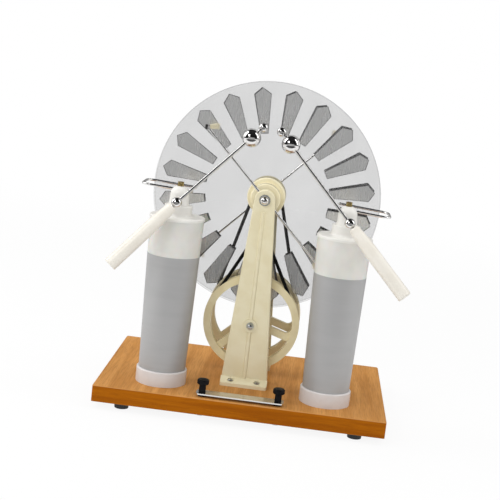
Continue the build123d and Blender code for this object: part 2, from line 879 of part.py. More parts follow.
# Discharge rods, turning on the front ends of the cross rods
def towards_handle(side, rise):
    return Vector(
        side * cos(radians(rise)) * cos(radians(rod_lean)),
        -sin(radians(rod_lean)),
        -sin(radians(rise)) * cos(radians(rod_lean)),
    )


reach_share = cos(radians(rod_lean)) * (cos(radians(right_rod_rise)) + cos(radians(left_rod_rise)))
small_ball_reach = (joint_at(1).X - joint_at(-1).X - spark_gap - 2 * small_ball_radius) / reach_share
big_ball_reach = small_ball_reach - ball_spacing
tang_length = 0.45 * handle_length


def discharge_rod(side, rise, sag):
    joint = joint_at(side)
    away = towards_handle(side, rise)
    tang = towards_handle(side, rise + sag)
    with BuildPart() as rod:
        with BuildSketch(Plane(origin=joint, x_dir=-away, z_dir=away.cross(Vector(0, 0, 1)))):
            Rectangle(small_ball_reach, 2 * rod_radius, align=(Align.MIN, Align.CENTER))
            Circle(joint_ball_radius)
            with Locations((big_ball_reach, 0)):
                Circle(big_ball_radius)
            with Locations((small_ball_reach, 0)):
                Circle(small_ball_radius)
            Rectangle(400, 40, align=(Align.CENTER, Align.MAX), mode=Mode.SUBTRACT)
        revolve(axis=Axis(joint, away))
        add(round_bar(joint, joint + tang * tang_length, tang_radius))
        with Locations(Plane(origin=along_cross_rod(side, joint_y + 2.2), z_dir=-cross_direction(side))):
            Cylinder(
                cross_rod_radius + running_fit, 8,
                align=(Align.CENTER, Align.CENTER, Align.MIN), mode=Mode.SUBTRACT,
            )
    return rod


def handle(side, rise, sag):
    joint = joint_at(side)
    tang = towards_handle(side, rise + sag)
    with BuildPart() as grip:
        with BuildSketch(Plane(origin=joint, x_dir=tang, z_dir=tang.cross(Vector(0, 0, 1)))):
            Polygon(
                (6.6, tang_radius),
                (6.6, 4.9),
                (8.0, 5.8),
                (17.0, 6.7),
                (36.0, 7.7),
                (handle_length - 1.5, 7.9),
                (handle_length - 0.4, 7.4),
                (handle_length, 6.2),
                (handle_length, 0),
                (tang_length, 0),
                (tang_length, tang_radius),
                align=None,
            )
        revolve(axis=Axis(joint, tang))
    return grip


save(discharge_rod(1, right_rod_rise, 0), "right_discharge_rod")
save(discharge_rod(-1, left_rod_rise, left_handle_sag), "left_discharge_rod")
save(handle(1, right_rod_rise, 0), "right_handle")
save(handle(-1, left_rod_rise, left_handle_sag), "left_handle")

# Terminals, link strip and the straps under the board
strip_bottom = board_top + bushing_height + 0.05
knob_bottom = strip_bottom + strip_thickness + 0.1
terminals = ((-terminal_x, terminal_y), (terminal_x, terminal_y))
jar_centres = ((-jar_x, jar_y), (jar_x, jar_y))

with BuildPart() as terminal_bushings:
    with BuildSketch(Plane.XY.offset(board_top)):
        with Locations(*terminals):
            Circle(bushing_radius)
            Circle(stud_radius, mode=Mode.SUBTRACT)
    extrude(amount=bushing_height)
save(terminal_bushings, "terminal_bushings")

with BuildPart() as link_strip:
    with BuildSketch(Plane.XY.offset(strip_bottom)) as strip_outline:
        with Locations((0, terminal_y)):
            RectangleRounded(2 * terminal_x + 13, strip_width, 4.0)
        with Locations((-terminal_x, terminal_y)):
            Circle(stud_radius + running_fit, mode=Mode.SUBTRACT)
        with Locations((terminal_x, terminal_y)):
            Circle(stud_radius + free_gap, mode=Mode.SUBTRACT)
            Rectangle(
                2 * (stud_radius + free_gap), strip_width,
                align=(Align.CENTER, Align.MIN), mode=Mode.SUBTRACT,
            )
    extrude(amount=strip_thickness)
save(link_strip, "link_strip")

with BuildPart() as left_terminal_knob:
    with BuildSketch(Plane(origin=(-terminal_x, terminal_y, 0), x_dir=(1, 0, 0), z_dir=(0, -1, 0))):
        Polygon(
            (stud_radius + running_fit, knob_bottom),
            (4.0, knob_bottom),
            (3.8, knob_bottom + 8.6),
            (6.0, knob_bottom + 9.2),
            (6.8, knob_bottom + 10.2),
            (6.8, knob_bottom + 13.6),
            (5.8, knob_bottom + 15.0),
            (0, knob_bottom + 15.4),
            (0, knob_bottom + 9.0),
            (stud_radius + running_fit, knob_bottom + 9.0),
            align=None,
        )
    revolve(axis=Axis((-terminal_x, terminal_y, 0), (0, 0, 1)))
    with BuildSketch(Plane.XY.offset(knob_bottom + 8)):
        with Locations((-terminal_x, terminal_y)):
            with PolarLocations(7.3, 12):
                Circle(1.0)
    extrude(amount=10, mode=Mode.SUBTRACT)
save(left_terminal_knob, "left_terminal_knob")
save(reflected(left_terminal_knob, Plane.YZ), "right_terminal_knob")

nut_height = 2.6
nut_top = foot_height - strap_thickness
with BuildPart() as board_studs:
    with BuildSketch(Plane.XY.offset(nut_top - nut_height - 0.6)):
        with Locations(*terminals, *jar_centres):
            Circle(stud_radius)
    extrude(amount=board_top + socket_floor - nut_top + nut_height + 0.6)
    with BuildSketch(Plane.XY.offset(board_top + socket_floor)):
        with Locations(*terminals):
            Circle(stud_radius)
    extrude(amount=knob_bottom + 8.6 - board_top - socket_floor)
    with BuildSketch(Plane.XY.offset(board_top + socket_floor)):
        with Locations(*jar_centres):
            Circle(6.0)
    extrude(amount=jar_bottom - foil_thickness - board_top - socket_floor)
save(board_studs, "board_studs")

with BuildPart() as stud_nuts:
    with BuildSketch(Plane.XY.offset(nut_top - nut_height)):
        with Locations(*terminals, *jar_centres):
            RegularPolygon(4.2, 6)
            Circle(stud_radius, mode=Mode.SUBTRACT)
    extrude(amount=nut_height)
save(stud_nuts, "stud_nuts")

with BuildPart() as right_strap:
    run = Vector(jar_x - terminal_x, jar_y - terminal_y)
    with BuildSketch(Plane.XY.offset(nut_top)):
        with Locations(((jar_x + terminal_x) / 2, (jar_y + terminal_y) / 2)):
            SlotCenterToCenter(run.length, 9.0, rotation=degrees(atan2(run.Y, run.X)))
        with Locations((jar_x, jar_y), (terminal_x, terminal_y)):
            Circle(stud_radius, mode=Mode.SUBTRACT)
    extrude(amount=strap_thickness)
save_pair(right_strap, "strap")
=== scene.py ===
import math

import bmesh
import bpy
from mathutils import Matrix, Vector


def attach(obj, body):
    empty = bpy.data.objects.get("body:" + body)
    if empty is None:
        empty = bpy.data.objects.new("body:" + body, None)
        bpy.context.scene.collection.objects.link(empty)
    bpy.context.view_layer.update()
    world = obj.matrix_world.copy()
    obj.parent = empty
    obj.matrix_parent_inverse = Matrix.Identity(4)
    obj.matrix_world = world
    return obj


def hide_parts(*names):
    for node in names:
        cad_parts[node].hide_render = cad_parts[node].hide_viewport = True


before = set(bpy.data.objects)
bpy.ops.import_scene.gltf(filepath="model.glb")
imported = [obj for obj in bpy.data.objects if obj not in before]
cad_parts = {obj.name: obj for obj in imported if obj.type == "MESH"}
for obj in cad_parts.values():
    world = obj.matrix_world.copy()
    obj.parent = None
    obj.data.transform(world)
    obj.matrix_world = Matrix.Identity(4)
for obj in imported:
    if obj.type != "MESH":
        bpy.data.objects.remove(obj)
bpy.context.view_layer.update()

# Sizes of the machine that the pieces made here follow, in metres
BOARD_TOP = 0.0274
BOARD_UNDERSIDE = 0.0084
AXLE_Z = 0.2498
DISC_RADIUS = 0.1350
DISC_FACE = 0.006
COATING_TOP = 0.1787

# The pointed foils: distances from the axle, half widths, and the first one's angle in degrees
SECTOR_COUNT = 20
FOIL_ROOT = 0.0740
FOIL_SHOULDER = 0.1200
FOIL_TIP = 0.1280
FOIL_ROOT_HALF = 0.0046
FOIL_SHOULDER_HALF = 0.0098
SHOULDER_ROUND = 0.0005
FOIL_THICKNESS = 0.0002
FRONT_FOIL = 80.4
REAR_FOIL = 81.2

# The neutraliser arms: their reach, their tilt in degrees, and how far they stand from the middle
ARMS = {"front": (0.107, 135.0), "rear": (0.114, 134.0)}
ARM_Y = 0.036
BRUSH_LEAN = math.radians(22)
CLIP_REACH = 0.0025
FERRULE_SIZE = (0.0050, 0.0030, 0.0012)

# The column's screws: places on the foot flange and how far each cross is turned, in degrees
SCREW_X = 0.0155
SCREW_Y = 0.0513
SCREW_SEAT = 0.033124
SCREW_TURNS = ((-1, -1, 20), (1, -1, 55), (-1, 1, 10), (1, 1, 40))
RECESS_SPAN = 0.0036
RECESS_SLOT = 0.0007
RECESS_HEIGHT = 0.0024
RECESS_MIDDLE = 0.0021

# The room that only polished metal shows
ROOM_SIDE = 2.6
ROOM_FRONT = -2.8
ROOM_BACK = 2.8
ROOM_HEIGHT = 2.3
SKIRTING_TOP = 0.8
TABLE_Z = 0.002


class Value:
    """A socket of a finish that takes part in Python expressions."""

    def __init__(self, finish, socket):
        self.finish = finish
        self.socket = socket

    def _with(self, operation, first, second):
        return self.finish.node("ShaderNodeMath", {"operation": operation}, {0: first, 1: second})

    def __add__(self, other):
        return self._with("ADD", self, other)

    def __radd__(self, other):
        return self._with("ADD", other, self)

    def __sub__(self, other):
        return self._with("SUBTRACT", self, other)

    def __rsub__(self, other):
        return self._with("SUBTRACT", other, self)

    def __mul__(self, other):
        return self._with("MULTIPLY", self, other)

    def __rmul__(self, other):
        return self._with("MULTIPLY", other, self)

    def __pow__(self, other):
        return self._with("POWER", self, other)

    def at_least(self, other):
        return self._with("MAXIMUM", self, other)

    def at_most(self, other):
        return self._with("MINIMUM", self, other)

    def size(self):
        return self.finish.node("ShaderNodeMath", {"operation": "ABSOLUTE"}, {0: self})

    def ramp(self, low, high, start=0.0, end=1.0):
        """Goes smoothly from start to end while the value goes from low to high."""
        return self.finish.node(
            "ShaderNodeMapRange",
            {"interpolation_type": "SMOOTHSTEP"},
            {"Value": self, "From Min": low, "From Max": high, "To Min": start, "To Max": end},
        )


class Finish:
    """One material, built from nodes."""

    def __init__(self, name, **settings):
        self.material = bpy.data.materials.new(name)
        self.material.use_nodes = True
        self.nodes = self.material.node_tree.nodes
        self.links = self.material.node_tree.links
        self.surface = self.nodes["Principled BSDF"]
        for socket, value in settings.items():
            self.surface.inputs[socket.replace("_", " ")].default_value = value
        place = self.nodes.new("ShaderNodeTexCoord")
        self.place = Value(self, place.outputs["Object"])
        apart = self.nodes.new("ShaderNodeSeparateXYZ")
        self.links.new(place.outputs["Object"], apart.inputs[0])
        self.x, self.y, self.z = (Value(self, apart.outputs[i]) for i in range(3))

    def node(self, kind, settings=None, inputs=None, output=0):
        made = self.nodes.new(kind)
        for key, value in (settings or {}).items():
            setattr(made, key, value)
        for key, value in (inputs or {}).items():
            if isinstance(value, Value):
                self.links.new(value.socket, made.inputs[key])
            else:
                made.inputs[key].default_value = value
        return Value(self, made.outputs[output])

    def noise(self, stretch=(1, 1, 1), scale=1.0, detail=3.0, roughness=0.55):
        spread = self.node(
            "ShaderNodeVectorMath", {"operation": "MULTIPLY"}, {0: self.place, 1: stretch}
        )
        return self.node(
            "ShaderNodeTexNoise", None,
            {"Vector": spread, "Scale": scale, "Detail": detail, "Roughness": roughness},
        )

    def blend(self, amount, first, second):
        """A colour that goes from first to second as amount goes from 0 to 1."""
        mix = self.nodes.new("ShaderNodeMix")
        mix.data_type = "RGBA"
        self.links.new(amount.socket, mix.inputs[0])
        for socket, colour in ((mix.inputs[6], first), (mix.inputs[7], second)):
            if isinstance(colour, Value):
                self.links.new(colour.socket, socket)
            else:
                socket.default_value = (*colour, 1.0)
        return Value(self, mix.outputs[2])

    def feed(self, **sockets):
        for socket, value in sockets.items():
            self.links.new(value.socket, self.surface.inputs[socket.replace("_", " ")])
        return self

    def bump(self, height, depth):
        bump = self.node(
            "ShaderNodeBump", None, {"Height": height, "Distance": depth, "Strength": 1.0}
        )
        return self.feed(Normal=bump)


def board_finish():
    wood = Finish("oiled_board", Specular_IOR_Level=0.06)
    top_figure = wood.noise((90, 5, 60), 1.0, 4.0, 0.6)
    top_pores = wood.noise((900, 40, 500), 1.0, 2.0, 0.6)
    edge_figure = wood.noise((6, 60, 130), 1.0, 4.0, 0.6)
    edge_pores = wood.noise((45, 500, 900), 1.0, 2.0, 0.6)
    top = wood.blend(top_figure.ramp(0.3, 0.7), (0.47, 0.205, 0.048), (0.62, 0.30, 0.088))
    top = wood.blend(top_pores.ramp(0.35, 0.55, 0.35, 0.0), top, (0.30, 0.14, 0.05))
    edge = wood.blend(edge_figure.ramp(0.3, 0.7), (0.31, 0.082, 0.001), (0.42, 0.125, 0.002))
    edge = wood.blend(edge_pores.ramp(0.35, 0.55, 0.3, 0.0), edge, (0.20, 0.05, 0.002))
    on_top = wood.z.ramp(BOARD_TOP - 0.0009, BOARD_TOP - 0.0003)
    # painted highlight: the top edge gets a lighter line painted on, where the board's arris
    # catches the light
    arris_highlight = wood.z.ramp(BOARD_TOP - 0.0016, BOARD_TOP - 0.0008) - on_top
    colour = wood.blend(on_top, edge, top)
    colour = wood.blend(arris_highlight.at_least(0.0) * 0.6, colour, (0.66, 0.38, 0.16))
    underside = wood.z.ramp(BOARD_UNDERSIDE - 0.0005, BOARD_UNDERSIDE)
    colour = wood.blend(underside, (0.30, 0.20, 0.11), colour)
    wood.feed(Base_Color=colour, Roughness=top_pores.ramp(0.3, 0.7, 0.58, 0.48))
    return wood.bump(top_pores * 0.5 + top_figure * 0.5, 0.00012)


def moulding_finish(name, pale, deep, rough, mottle=60.0, **settings):
    plastic = Finish(name, **settings)
    cloud = plastic.noise((1, 1, 1), mottle, 2.0)
    skin = plastic.noise((1, 1, 1), 900.0, 2.0)
    plastic.feed(
        Base_Color=plastic.blend(cloud.ramp(0.35, 0.65), deep, pale),
        Roughness=cloud.ramp(0.3, 0.7, rough - 0.04, rough + 0.05),
    )
    return plastic.bump(skin, 0.00003)


def metal_finish(name, pale, deep, rough, spread, grain=(1, 1, 1), scale=200.0, depth=0.0):
    metal = Finish(name, Metallic=1.0)
    marks = metal.noise(grain, scale, 3.0)
    metal.feed(
        Base_Color=metal.blend(marks.ramp(0.35, 0.65), deep, pale),
        Roughness=marks.ramp(0.3, 0.7, rough, rough + spread),
    )
    return metal.bump(marks, depth) if depth else metal


def disc_finish():
    sheet = Finish("clear_acrylic", Roughness=0.12, IOR=1.49)
    from_axle = (sheet.x * sheet.x + (sheet.z - AXLE_Z) * (sheet.z - AXLE_Z)) ** 0.5
    # painted edge line: the sheet is painted denser at its rim, for the light its cut edge catches
    rim = from_axle.ramp(DISC_RADIUS - 0.0015, DISC_RADIUS - 0.0006)
    haze = sheet.noise((1, 1, 1), 18.0, 2.0)
    tone = sheet.blend(haze.ramp(0.35, 0.65), (0.11, 0.11, 0.115), (0.13, 0.13, 0.135))
    sheet.feed(Base_Color=tone, Alpha=rim * 0.05 + haze.ramp(0.3, 0.7, 0.095, 0.11))
    return sheet


def jar_finish():
    milk = Finish(
        "milky_jar", Specular_IOR_Level=0.4, Subsurface_Weight=0.25, Subsurface_Scale=0.004
    )
    cloud = milk.noise((1, 1, 1), 40.0, 2.0)
    flow = milk.noise((60, 60, 6), 1.0, 2.0)
    milk.feed(
        Base_Color=milk.blend(cloud.ramp(0.3, 0.7), (0.665, 0.65, 0.61), (0.725, 0.71, 0.67)),
        Roughness=flow.ramp(0.3, 0.7, 0.28, 0.38),
    )
    return milk.bump(flow, 0.00006)


def jar_foil_finish():
    foil = Finish("jar_foil", Metallic=0.3, Specular_IOR_Level=0.2)
    wiped = foil.noise((14, 14, 110), 1.0, 3.0)
    fine = foil.noise((1, 1, 1), 1500.0, 2.0)
    # painted shade: the foil is painted darker towards the board and paler towards its top; the
    # wiped streaks are the foil's own marks
    painted_light_by_height = foil.z.ramp(BOARD_TOP, COATING_TOP, 0.0, 1.0)
    paler = painted_light_by_height * 0.6 + wiped.ramp(0.35, 0.65, 0.0, 0.4)
    shade = foil.blend(paler, (0.41, 0.41, 0.41), (0.455, 0.455, 0.455))
    foil.feed(Base_Color=shade, Roughness=wiped.ramp(0.3, 0.7, 0.42, 0.50))
    return foil.bump(fine * 0.4 + wiped * 0.6, 0.00005)


def sector_finish():
    foil = Finish("sector_foil", Metallic=0.9)
    # where a point lies on its own foil: out along its middle line, and aside from it
    upward = foil.z - AXLE_Z
    from_axle = (foil.x * foil.x + upward * upward) ** 0.5
    first = foil.y.ramp(-0.001, 0.001, math.radians(FRONT_FOIL), math.radians(REAR_FOIL))
    step = math.tau / SECTOR_COUNT
    angle = foil.node("ShaderNodeMath", {"operation": "ARCTAN2"}, {0: upward, 1: foil.x})
    from_first = angle - first + step / 2 + math.tau
    turned = foil.node(
        "ShaderNodeMath", {"operation": "FLOORED_MODULO"}, {0: from_first, 1: step}
    ) - step / 2
    out = from_axle * foil.node("ShaderNodeMath", {"operation": "COSINE"}, {0: turned})
    aside = (from_axle * foil.node("ShaderNodeMath", {"operation": "SINE"}, {0: turned})).size()
    # how far in from the flank, the slanted point and the root it lies
    flank_slope = (FOIL_SHOULDER_HALF - FOIL_ROOT_HALF) / (FOIL_SHOULDER - FOIL_ROOT)
    point_slope = FOIL_SHOULDER_HALF / (FOIL_TIP - FOIL_SHOULDER)
    square_to_point = 0.63  # an upright distance, measured square to the slanted edge
    flank = (out - FOIL_ROOT) * flank_slope + FOIL_ROOT_HALF - aside
    point = ((FOIL_TIP - out) * point_slope - aside) * square_to_point
    edge = flank.at_most(point).at_most(out - FOIL_ROOT)
    rolled = foil.noise((420, 40, 16), 1.0, 3.0)
    crease = foil.noise((24, 10, 60), 1.0, 2.0)
    shade = foil.blend(rolled.ramp(0.3, 0.7), (0.78, 0.78, 0.775), (0.82, 0.82, 0.815))
    # painted shade: a dark line is painted along each foil's outline, for the shade at its edges
    shade = foil.blend(edge.ramp(0.0003, 0.0009, 0.75, 0.0), shade, (0.16, 0.16, 0.165))
    foil.feed(Base_Color=shade, Roughness=rolled.ramp(0.3, 0.7, 0.25, 0.28))
    return foil.bump(crease, 0.00003)


ivory = moulding_finish("ivory_moulding", (0.80, 0.735, 0.515), (0.765, 0.69, 0.46), 0.38)
wheel_ivory = moulding_finish("wheel_ivory", (0.80, 0.71, 0.455), (0.76, 0.66, 0.40), 0.38)
# the hub's ivory is a paler copy of the column's, painted light for the gloss the hub shows while
# it sits in the column's shade
hub_ivory_painted_light = moulding_finish("hub_ivory_painted_light", (0.90, 0.825, 0.58), (0.86, 0.775, 0.52), 0.38)
grip = moulding_finish("ivory_grip", (0.80, 0.765, 0.69), (0.77, 0.73, 0.65), 0.32)
white = moulding_finish("white_moulding", (0.79, 0.775, 0.735), (0.76, 0.745, 0.705), 0.36)
socket_white = moulding_finish("socket_moulding", (0.68, 0.65, 0.64), (0.64, 0.61, 0.60), 0.34)
black = moulding_finish(
    "black_moulding", (0.008, 0.008, 0.009), (0.005, 0.005, 0.006), 0.35, Specular_IOR_Level=0.08
)
rubber = moulding_finish("black_rubber", (0.035, 0.034, 0.033), (0.022, 0.022, 0.022), 0.62)
belt = moulding_finish(
    "belt_cord", (0.005, 0.005, 0.005), (0.003, 0.003, 0.003), 0.6, 300.0, Specular_IOR_Level=0.1
)
nickel = metal_finish("bright_nickel", (0.84, 0.83, 0.82), (0.80, 0.79, 0.78), 0.06, 0.05)
strip_nickel = metal_finish(
    "strip_nickel", (0.80, 0.79, 0.77), (0.70, 0.69, 0.67), 0.12, 0.10, (30, 600, 600), 1.0, 0.00002
)
zinc = metal_finish("zinc_plate", (0.66, 0.68, 0.69), (0.54, 0.56, 0.57), 0.26, 0.14, scale=500.0)
steel = metal_finish(
    "bare_steel", (0.62, 0.62, 0.61), (0.53, 0.53, 0.52), 0.24, 0.12, (900, 30, 900), 1.0
)
brass = metal_finish(
    "yellow_brass", (0.58, 0.45, 0.20), (0.40, 0.30, 0.12), 0.22, 0.10, scale=400.0
)
bristle = moulding_finish(
    "brush_bristle", (0.93, 0.88, 0.70), (0.84, 0.78, 0.58), 0.45, 900.0, Alpha=0.8
)
wood = board_finish()
acrylic = disc_finish()
milky = jar_finish()
jar_foil = jar_foil_finish()
sector_foil = sector_finish()

finish_of = {
    "base_board": wood, "rubber_feet": rubber, "foot_screws": zinc,
    "front_column": ivory, "rear_column": ivory, "column_screws": zinc,
    "disc_axle": steel, "axle_washers": zinc, "axle_cap_nuts": nickel,
    "front_disc": acrylic, "rear_disc": acrylic,
    "front_disc_sectors": sector_foil, "rear_disc_sectors": sector_foil,
    "front_hub_pulley": hub_ivory_painted_light, "rear_hub_pulley": hub_ivory_painted_light,
    "drive_shaft": steel, "front_drive_wheel": wheel_ivory, "rear_drive_wheel": wheel_ivory,
    "shaft_nut": zinc, "crank_arm": ivory, "crank_pin": steel, "crank_grip": grip,
    "rear_belt": belt, "front_belt": belt,
    "front_neutraliser": nickel, "rear_neutraliser": nickel,
    "front_brushes": bristle, "rear_brushes": bristle,
    "terminal_bushings": black, "link_strip": strip_nickel, "board_studs": zinc, "stud_nuts": zinc,
}
side_finish = {
    "jar_socket": socket_white, "jar": milky, "outer_coating": jar_foil, "inner_coating": jar_foil,
    "jar_lid": white, "knob": white, "brass_screw": brass, "inner_rod": steel, "cross_rod": nickel,
    "collector": nickel, "discharge_rod": nickel, "handle": grip, "terminal_knob": black,
    "strap": zinc,
}
for side in ("left", "right"):
    for piece, finish in side_finish.items():
        finish_of[f"{side}_{piece}"] = finish
for node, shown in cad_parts.items():
    for slot in shown.material_slots:
        slot.material = finish_of[node].material


# Pieces that repeat, by Geometry Nodes

class Rule:
    """A geometry node tree with named sizes, baked to a plain mesh."""

    def __init__(self, name, sizes):
        self.tree = bpy.data.node_groups.new(name, "GeometryNodeTree")
        self.sizes = sizes
        sockets = self.tree.interface
        sockets.new_socket("Geometry", in_out="INPUT", socket_type="NodeSocketGeometry")
        for size, value in sizes.items():
            kind = "NodeSocketInt" if isinstance(value, int) else "NodeSocketFloat"
            sockets.new_socket(size, in_out="INPUT", socket_type=kind)
        sockets.new_socket("Geometry", in_out="OUTPUT", socket_type="NodeSocketGeometry")
        self.entry = self.tree.nodes.new("NodeGroupInput")

    def size(self, name):
        return self.entry.outputs[name]

    def node(self, kind, settings=None, inputs=None, output=0):
        made = self.tree.nodes.new(kind)
        for key, value in (settings or {}).items():
            setattr(made, key, value)
        for key, value in (inputs or {}).items():
            if isinstance(value, bpy.types.NodeSocket):
                self.tree.links.new(value, made.inputs[key])
            else:
                made.inputs[key].default_value = value
        return made.outputs[output]

    def baked(self, instances, finish, start=None):
        """The tree's result as a mesh. A start mesh is what the tree is given."""
        real = self.node("GeometryNodeRealizeInstances", None, {0: instances})
        painted = self.node(
            "GeometryNodeSetMaterial", None, {"Geometry": real, "Material": finish.material}
        )
        leave = self.tree.nodes.new("NodeGroupOutput")
        self.tree.links.new(painted, leave.inputs[0])
        mesh = start or bpy.data.meshes.new(self.tree.name)
        holder = bpy.data.objects.new(self.tree.name, mesh)
        bpy.context.collection.objects.link(holder)
        grown = holder.modifiers.new("rule", "NODES")
        grown.node_group = self.tree
        for item in self.tree.interface.items_tree:
            if item.in_out == "INPUT" and item.name in self.sizes:
                grown[item.identifier] = self.sizes[item.name]
        bpy.context.view_layer.update()
        result = bpy.data.meshes.new_from_object(
            holder.evaluated_get(bpy.context.evaluated_depsgraph_get())
        )
        holder.modifiers.remove(grown)
        bpy.data.objects.remove(holder)
        return result


def placed(name, mesh, places, finish, body, *nodes):
    """One piece from copies of mesh, riding on body and standing for nodes."""
    shape = bmesh.new()
    for place in places:
        one = mesh.copy()
        one.transform(place)
        if place.determinant() < 0:
            one.flip_normals()
        shape.from_mesh(one)
        bpy.data.meshes.remove(one)
    made = bpy.data.meshes.new(name)
    shape.to_mesh(made)
    shape.free()
    made.materials.clear()
    made.materials.append(finish.material)
    for face in made.polygons:
        face.use_smooth = False
        face.material_index = 0
    piece = bpy.data.objects.new(name, made)
    bpy.context.collection.objects.link(piece)
    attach(piece, body)
    if nodes:
        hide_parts(*nodes)
    return piece


def lathe(profile, steps):
    """A closed mesh turned about z from (radius, height) points, bottom to top."""
    shape = bmesh.new()
    angles = [math.tau * i / steps for i in range(steps)]
    rings = []
    for radius, height in profile:
        if radius == 0:
            rings.append([shape.verts.new((0, 0, height))])
        else:
            rings.append([
                shape.verts.new((radius * math.cos(angle), radius * math.sin(angle), height))
                for angle in angles
            ])
    for low, high in zip(rings, rings[1:]):
        for i in range(steps):
            j = (i + 1) % steps
            corners = (
                low[i % len(low)], low[j % len(low)], high[j % len(high)], high[i % len(high)]
            )
            # a pole has one point, so the faces at it are triangles
            shape.faces.new(list(dict.fromkeys(corners)))
    bmesh.ops.recalc_face_normals(shape, faces=shape.faces)
    mesh = bpy.data.meshes.new("turned")
    shape.to_mesh(mesh)
    shape.free()
    return mesh


def brush_place(word, end):
    """Where the root of the brush at one end of an arm is: its z points to the disc."""
    reach, tilt = ARMS[word]
    angle = math.radians(tilt)
    tip = Vector((
        end * reach * math.cos(angle), -ARM_Y, AXLE_Z + end * reach * math.sin(angle)
    ))
    towards = Vector((end * math.sin(BRUSH_LEAN), math.cos(BRUSH_LEAN), 0))
    across = Vector((0, 0, 1))
    frame_of = Matrix((across, towards.cross(across), towards)).transposed().to_4x4()
    place = Matrix.Translation(tip + towards * CLIP_REACH) @ frame_of
    return Matrix.Rotation(math.pi, 4, "Z") @ place if word == "rear" else place


def bristles():
    """A flat tuft of fine wires that stand on a grid and spread a little."""
    rule = Rule("brush_tuft", {
        "Width": 0.0044, "Depth": 0.0024, "Across": 16, "Deep": 4,
        "Wire Length": 0.0278, "Wire Radius": 0.00006, "Spread": 0.028, "Fan": 22.0, "Seed": 5,
    })
    grid = rule.node("GeometryNodeMeshGrid", None, {
        "Size X": rule.size("Width"), "Size Y": rule.size("Depth"),
        "Vertices X": rule.size("Across"), "Vertices Y": rule.size("Deep"),
    })
    wire = rule.node("GeometryNodeMeshCone", None, {
        "Vertices": 4, "Radius Top": rule.size("Wire Radius"),
        "Radius Bottom": rule.size("Wire Radius"), "Depth": rule.size("Wire Length"),
    })
    times = {"operation": "MULTIPLY"}
    low = rule.node("ShaderNodeMath", times, {0: rule.size("Spread"), 1: -1.0})
    turn = rule.node("FunctionNodeRandomValue", {"data_type": "FLOAT"}, {
        2: low, 3: rule.size("Spread"), "Seed": rule.size("Seed"),
    }, 1)
    apart = rule.node("ShaderNodeSeparateXYZ", None, {0: rule.node("GeometryNodeInputPosition")}, 0)
    fan = rule.node("ShaderNodeMath", times, {0: apart, 1: rule.size("Fan")})
    tilt = rule.node("ShaderNodeCombineXYZ", None, {0: turn, 1: fan})
    tuft = rule.node("GeometryNodeInstanceOnPoints", None, {
        "Points": grid, "Instance": wire, "Rotation": tilt,
    })
    return rule.baked(tuft, bristle)


def brush_backing():
    """The ferrule that holds the wires."""
    shape = bmesh.new()
    bmesh.ops.create_cube(shape, size=1.0)
    bmesh.ops.scale(shape, vec=FERRULE_SIZE, verts=shape.verts)
    bmesh.ops.translate(shape, vec=(0, 0, FERRULE_SIZE[2] / 2), verts=shape.verts)
    bmesh.ops.bevel(shape, geom=shape.edges[:], offset=0.0002, segments=2, affect="EDGES")
    mesh = bpy.data.meshes.new("ferrule")
    shape.to_mesh(mesh)
    shape.free()
    return mesh


tuft = bristles()
backing = brush_backing()
for word in ARMS:
    whole = bmesh.new()
    for end in (-1, 1):
        root = brush_place(word, end)
        for mesh in (tuft, backing):
            one = mesh.copy()
            one.transform(root)
            whole.from_mesh(one)
            bpy.data.meshes.remove(one)
    joined = bpy.data.meshes.new(f"{word}_brush_wires")
    whole.to_mesh(joined)
    whole.free()
    placed(
        f"{word}_brush_wires", joined, [Matrix.Identity(4)], bristle,
        f"{word}_neutraliser_rod", f"{word}_brushes",
    )


def foil_ring():
    """Pointed foils laid out evenly round the disc, in its own plane."""
    half = [
        (FOIL_ROOT, FOIL_ROOT_HALF), (FOIL_SHOULDER - SHOULDER_ROUND, FOIL_SHOULDER_HALF),
        (FOIL_SHOULDER + SHOULDER_ROUND, FOIL_SHOULDER_HALF - 0.0001),
    ]
    outline = [(x, -y) for x, y in half] + [(FOIL_TIP, 0.0)] + half[::-1]
    shape = bmesh.new()
    low = [shape.verts.new((x, y, 0.0)) for x, y in outline]
    # the upper face is a little smaller, so the cut edge catches the light
    high = [
        shape.verts.new((x * 0.9995 + 0.00005, y * 0.985, FOIL_THICKNESS)) for x, y in outline
    ]
    shape.faces.new(low[::-1])
    shape.faces.new(high)
    for i in range(len(outline)):
        j = (i + 1) % len(outline)
        shape.faces.new((low[i], low[j], high[j], high[i]))
    foil = bpy.data.meshes.new("foil")
    shape.to_mesh(foil)
    shape.free()
    rule = Rule("foil_ring", {"Foils": SECTOR_COUNT, "Thickness Scale": 1.0})
    count = rule.size("Foils")
    points = rule.node("GeometryNodePoints", None, {"Count": count, "Radius": 0.001})
    step = rule.node("ShaderNodeMath", {"operation": "DIVIDE"}, {0: math.tau, 1: count})
    index = rule.node("GeometryNodeInputIndex")
    turn = rule.node("ShaderNodeMath", {"operation": "MULTIPLY"}, {0: index, 1: step})
    spin = rule.node("ShaderNodeCombineXYZ", None, {2: turn})
    thick = rule.node(
        "ShaderNodeCombineXYZ", None, {0: 1.0, 1: 1.0, 2: rule.size("Thickness Scale")}
    )
    ring = rule.node("GeometryNodeInstanceOnPoints", None, {
        "Points": points, "Instance": rule.entry.outputs["Geometry"],
        "Rotation": spin, "Scale": thick,
    })
    return rule.baked(ring, sector_foil, foil)


ring = foil_ring()
upright = Matrix.Translation((0, 0, AXLE_Z)) @ Matrix.Rotation(math.pi / 2, 4, "X")
for word, first, side in (("front", FRONT_FOIL, 1), ("rear", REAR_FOIL, -1)):
    turned = Matrix.Rotation(math.radians(first), 4, "Z")
    lift = Matrix.Translation((0, 0, DISC_FACE))
    place = Matrix.Diagonal((1, side, 1, 1)) @ upright @ lift @ turned
    placed(
        f"{word}_foil_ring", ring, [place], sector_foil,
        f"{word}_disc_assembly", f"{word}_disc_sectors",
    )


